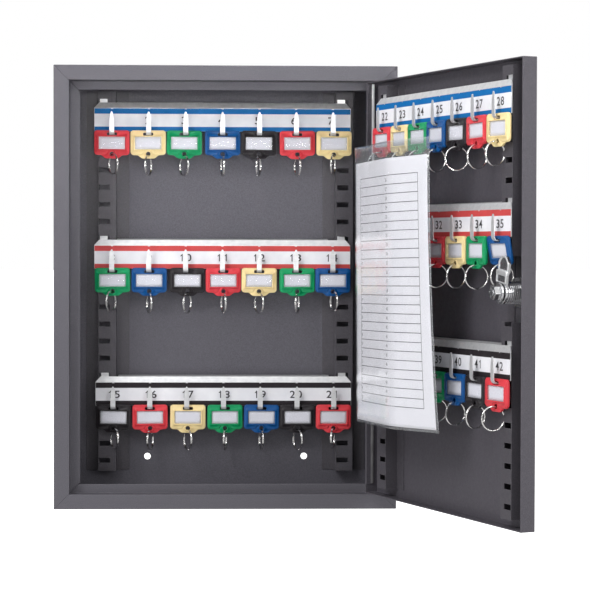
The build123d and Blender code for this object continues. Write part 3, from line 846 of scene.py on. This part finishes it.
for r in range(RAILS):
    for i in range(HOOKS):
        number = r * HOOKS + i + 1
        x = (i - (HOOKS - 1) // 2) * HOOK_PITCH + NUMBER_SHIFT[r][i]
        at = RAIL_FRAMES[r] @ move(x, -NUMBER_OFF, NUMBER_Z)
        mesh = number_mesh(str(number))
        add(f"hook_number_{number:02d}", mesh, label_ink, at, f"rail_{r + 1}", smooth=False)

# ------------------------------------------------------------------ raised relief on the cam
LOCK_ALONG, LOCK_Z, CAM_REST = 252.6, 1.5, 8.0  # axis from the hinge side, height, degrees
SHANK = 18.9  # length of the lock's shank
CAM_FRAME = OPEN @ move(DOOR_X - LOCK_ALONG, DOOR_Y, LOCK_Z) @ turn(-CAM_REST, "Y")
UPPER_OUTER = mirrored([(7.5, 16.6), (7.5, 22.9), (6.2, 24.9), (3.2, 27.7), (1.6, 28.0)])
UPPER_INNER = mirrored([(6.1, 17.6), (6.1, 22.5), (5.0, 24.1), (2.5, 26.4), (1.2, 26.7)])
LOWER_OUTER = rounded_rect(-7.5, 7.5, 7.6, 14.6, 0.9)
LOWER_INNER = rounded_rect(-6.0, 6.0, 8.4, 13.2, 0.7)
CRANK_RIDGE = rounded_rect(-7.55, 7.55, 13.5, 16.9, 0.7)
# name, outline about the lock's axis, holes, start and end past the shank, bevel width
CAM_RELIEF = (
    ("cam_rim_lower", LOWER_OUTER, [LOWER_INNER], 2.15, 2.75, 0.25),
    ("cam_rim_upper", UPPER_OUTER, [UPPER_INNER], 0.95, 1.6, 0.25),
    ("cam_crank_ridge", CRANK_RIDGE, [], 0.6, 2.9, 0.7),
)
for name, outline, holes, start, end, width in CAM_RELIEF:
    raw = plate("relief", outline, holes, SHANK + start, SHANK + end)
    # the relief takes the brighter zinc: a painted highlight
    add(name, bevelled(raw, "relief", width, segments=3), rim_highlight_zinc, CAM_FRAME, "cam")

# ------------------------------------------------------------------ index sleeve and card
# s runs across the sleeve from its hinge side, v down from its top, both in mm.
SLEEVE_WIDTH, SLEEVE_HEIGHT = 152.0, 232.0
SLEEVE_ALONG, SLEEVE_TOP = 35.0, 119.67  # hinge-side top corner on the door
SLEEVE_TILT = math.radians(0.93)
FOLD_START, FOLD_WIDTH = 77.3, 28.0
# values at the sleeve's top, middle and bottom
NEAR_PANEL_ANGLES = (8.7, 7.8, 8.2)
FAR_PANEL_ANGLES = (-6.4, -5.9, -12.3)
SLEEVE_OFF = (39.9, 39.7, 39.1)
CARD_S, CARD_WIDTH, CARD_V, CARD_HEIGHT = 3.0, 146.0, 13.6, 216.0
PRINT_OFF = 0.10  # print off the card's mid surface
profiles = {}


def down_sleeve(v, values):
    """Smooth value through the three at the top, middle and bottom."""
    x = v / SLEEVE_HEIGHT
    top, middle, bottom = values
    return top * (1 - x) * (1 - 2 * x) + middle * 4 * x * (1 - x) + bottom * x * (2 * x - 1)


def profile(v):
    """(along, off) at each mm across: two nearly flat panels that meet at a soft upright fold."""
    key = round(v, 2)
    if key not in profiles:
        near = math.radians(down_sleeve(v, NEAR_PANEL_ANGLES))
        far = math.radians(down_sleeve(v, FAR_PANEL_ANGLES))
        along = off = 0.0
        points = [(along, off)]
        for k in range(int(SLEEVE_WIDTH) + 3):
            angle = near + (far - near) * smooth_step((k + 0.5 - FOLD_START) / FOLD_WIDTH)
            along += math.cos(angle)
            off += math.sin(angle)
            points.append((along, off))
        profiles[key] = points
    return profiles[key]


def sheet_point(s, v):
    """(along, off, z) in mm on the sleeve's mid surface."""
    points = profile(v)
    k = min(max(int(math.floor(s)), 0), len(points) - 2)
    (x0, y0), (x1, y1) = points[k], points[k + 1]
    x = x0 + (x1 - x0) * (s - k)
    y = y0 + (y1 - y0) * (s - k)
    ripple = 0.22 * math.sin(v / 29.0 + 1.3) * math.sin(math.pi * s / SLEEVE_WIDTH)
    along = SLEEVE_ALONG + x * math.cos(SLEEVE_TILT) + v * math.sin(SLEEVE_TILT)
    z = SLEEVE_TOP - v * math.cos(SLEEVE_TILT) + x * math.sin(SLEEVE_TILT)
    return along, down_sleeve(v, SLEEVE_OFF) + y + ripple, z


def sheet_world(s, v, lift=0.0):
    """The same point in metres on the open door, lifted away from the door's sheet."""
    along, off, z = sheet_point(s, v)
    if lift:
        a1, b1, _ = sheet_point(s + 0.5, v)
        a0, b0, _ = sheet_point(s - 0.5, v)
        tangent = Vector((a1 - a0, b1 - b0)).normalized()
        along, off = along - tangent.y * lift, off + tangent.x * lift
    return OPEN @ Vector(((DOOR_X - along) * MM, (DOOR_Y + off) * MM, z * MM))


def pocket_gap(s, v):
    """Half the pocket's opening: nothing in the sealed margins, open at the top."""
    side = min(s, SLEEVE_WIDTH - s)
    return 0.75 * smooth_step((side - 2.6) / 5.0) * smooth_step((SLEEVE_HEIGHT - v - 2.2) / 6.0)


def sleeve_mesh():
    """Two films joined along the sides and the bottom, with ribbed seams and a wavy mouth."""
    columns, rows = 72, 96
    seam = 2.0
    bm = bmesh.new()
    front, back = [], []
    for v in spread(0, SLEEVE_HEIGHT, rows):
        front.append([])
        back.append([])
        for s in spread(0, SLEEVE_WIDTH, columns):
            sealed = min(s, SLEEVE_WIDTH - s) < seam or SLEEVE_HEIGHT - v < seam
            rib = 0.10 * math.sin(v * 2.4) if sealed else 0.0
            wave = 0.35 * math.sin(v / 23.0 + s / 47.0) * smooth_step((18 - v) / 18.0)
            gap = pocket_gap(s, v) + 0.06
            front[-1].append(bm.verts.new(sheet_world(s, v, gap + rib + wave)))
            back[-1].append(bm.verts.new(sheet_world(s, v, -gap + rib + wave * 0.3)))
    for j in range(rows):
        for i in range(columns):
            quad(bm, front, i, j)
            quad(bm, back, i, j, flip=True)
    for j in range(rows):
        bm.faces.new((front[j][0], front[j + 1][0], back[j + 1][0], back[j][0]))
        bm.faces.new((front[j][-1], back[j][-1], back[j + 1][-1], front[j + 1][-1]))
    for i in range(columns):
        bm.faces.new((front[-1][i], front[-1][i + 1], back[-1][i + 1], back[-1][i]))
    bmesh.ops.recalc_face_normals(bm, faces=bm.faces)
    return thickened(finish_mesh(bm, "films"), "sleeve", thickness=0.10)


def card_mesh():
    bm = bmesh.new()
    across, down = spread(CARD_S, CARD_WIDTH, 60), spread(CARD_V, CARD_HEIGHT, 80)
    surface(bm, across, down, sheet_world, flip=True)
    bmesh.ops.recalc_face_normals(bm, faces=bm.faces)
    return thickened(finish_mesh(bm, "card"), "index_card", thickness=0.16)


def print_point(s, v):
    return sheet_world(s, v, PRINT_OFF)


def print_bar(bm, s0, s1, v0, v1):
    """Printed bar that follows the card's curve."""
    across = spread(s0, s1 - s0, max(1, int((s1 - s0) / 4)))
    down = spread(v0, v1 - v0, max(1, int((v1 - v0) / 6)))
    surface(bm, across, down, print_point, flip=True)


def print_text(bm, text, s, v):
    """The front faces of the text, laid on the card."""
    mesh = text_mesh(text, height=2.9)
    verts = {}
    for vert in mesh.vertices:
        if vert.co.y <= 0.0:
            place = print_point(s + vert.co.x / MM, v - vert.co.z / MM)
            verts[vert.index] = bm.verts.new(place)
    for face in mesh.polygons:
        if all(i in verts for i in face.vertices):
            add_face(bm, [verts[i] for i in face.vertices])
    bpy.data.meshes.remove(mesh)


def print_mesh():
    """Ruled table with two columns of row numbers."""
    left, right = CARD_S + 13.0, CARD_S + CARD_WIDTH - 13.8
    top, rows, pitch = CARD_V + 13.7, 25, 7.446
    half_line = 0.55 / 2
    bm = bmesh.new()
    for k in range(rows + 1):
        v = top + k * pitch
        print_bar(bm, left, right, v - half_line, v + half_line)
    for s in (left, right):
        print_bar(bm, s - half_line, s + half_line, top, top + rows * pitch)
    for k in range(rows):
        v = top + (k + 0.5) * pitch
        for column, first in ((3.0, 1), (67.6, rows + 1)):
            # the numbers drift across so that each column stays plumb
            s = left + column - SLEEVE_TILT * (v - 110.0)
            print_text(bm, str(k + first), s, v)
    drop_loose(bm)
    return finish_mesh(bm, "index_print")


HERE = Matrix.Identity(4)
sleeve = add("index_sleeve_film", sleeve_mesh(), sleeve_film, HERE, "door")
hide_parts("index_sleeve")
card = add("index_card_sheet", card_mesh(), index_paper, HERE, "index_card")
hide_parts("index_card")
table = add("index_card_print", print_mesh(), index_ink, HERE, "index_card", smooth=False)
# each of the three gets its own copy of its mesh
for piece in (sleeve, card, table):
    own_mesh(piece)


# ------------------------------------------------------------------ stage, in metres
def pale_floor():
    """Pale grey that glows near white to the camera only."""
    m = Material("pale_floor")
    tone = m.fade(m.noise(scale=3), (0.52, 0.52, 0.52), (0.56, 0.56, 0.56), span=(0.3, 0.7))
    ray = m.node("LightPath").outputs["Is Camera Ray"]
    return m.principled(
        Base_Color=m.mix(ray, tone, (0.9, 0.9, 0.9)),
        Roughness=0.85,
        Emission_Color=(1.0, 1.0, 1.0),
        Emission_Strength=m.math("MULTIPLY", ray, 0.78),
        Normal=m.bump(m.noise(scale=900, detail=2.0), strength=0.05, depth=0.0005),
    )


def studio_world():
    """White to the camera; its light falls off downwards, as under a ceiling softbox."""
    world = bpy.data.worlds.new("studio")
    scene.world = world
    w = Nodes(world)
    seen = w.node("Background", {0: (1, 1, 1)}).outputs[0]
    direction = w.node("TexCoord").outputs["Generated"]
    height = w.node("SeparateXYZ", {0: direction}).outputs[2]
    strength = w.remap(
        height, span=(-0.25, 0.85), to=(0.12, 1.10), interpolation_type="SMOOTHSTEP"
    )
    light = w.node("Background", {0: (1, 1, 1), 1: strength}).outputs[0]
    ray = w.node("LightPath").outputs["Is Camera Ray"]
    mixed = w.node("MixShader", {0: ray, 1: light, 2: seen}).outputs[0]
    w.node("OutputWorld", {0: mixed})


def area_light(name, location, target, size, power, spread_angle):
    light = bpy.data.lights.new(name, "AREA")
    light.shape = "RECTANGLE"
    light.size, light.size_y = size
    light.energy = power
    if spread_angle:
        light.spread = math.radians(spread_angle)
    lamp = new_object(name, light)
    lamp.location = location
    aim = Vector(target) - Vector(location)
    lamp.rotation_euler = aim.to_track_quat("-Z", "Y").to_euler()


def aim_camera():
    camera = bpy.data.cameras.new("camera")
    camera.sensor_width = 36.0
    camera.sensor_fit = "HORIZONTAL"
    camera.lens = 122.702644068
    camera.clip_start = 0.05
    camera.clip_end = 60.0
    holder = new_object("camera", camera)
    # yaw towards +X, pitch down, roll
    yaw, pitch, roll = (math.radians(a) for a in (1.855, 1.316, 0.128))
    level_right = Vector((math.cos(yaw), -math.sin(yaw), 0))
    level_ahead = Vector((math.sin(yaw), math.cos(yaw), 0))
    vertical = Vector((0, 0, 1))
    ahead = level_ahead * math.cos(pitch) - vertical * math.sin(pitch)
    up = level_ahead * math.sin(pitch) + vertical * math.cos(pitch)
    right = level_right * math.cos(roll) + up * math.sin(roll)
    up = up * math.cos(roll) - level_right * math.sin(roll)
    rotation = Matrix((right, up, -ahead)).transposed().to_4x4()
    holder.matrix_world = Matrix.Translation((0.003646, -1.838835, 0.034268)) @ rotation
    scene.camera = holder


bpy.ops.mesh.primitive_plane_add(size=90.0, location=(0, 20.0, -0.62))
floor = bpy.context.object
floor.name = "floor"
floor.data.materials.append(pale_floor())
studio_world()

# name, location, target, size, watts, spread in degrees (None for the default);
# the two narrow beams fill the top of the case, which its own lip would leave dark
LIGHTS = (
    ("right", (1.5, -1.8, 0.5), (0.05, -0.05, 0.0), (0.8, 0.8), 13.5, None),
    ("left_high", (-1.0, -1.5, 1.3), (0.1, -0.1, 0.0), (0.8, 0.8), 19.0, None),
    ("left_low", (-1.6, -1.6, 0.0), (0.15, -0.1, 0.0), (0.8, 1.0), 7.0, None),
    ("fill_up", (0.16, -1.7, 0.11), (-0.02, -0.03, 0.178), (0.5, 0.25), 0.16, 16),
    ("fill_up_left", (-0.95, -1.45, 0.14), (0.10, -0.05, 0.17), (0.35, 0.3), 0.02, 16),
)
for light in LIGHTS:
    area_light(*light)
aim_camera()
scene.view_settings.view_transform = "Standard"
scene.view_settings.look = "None"
scene.view_settings.exposure = 0.0
scene.view_settings.gamma = 1.0
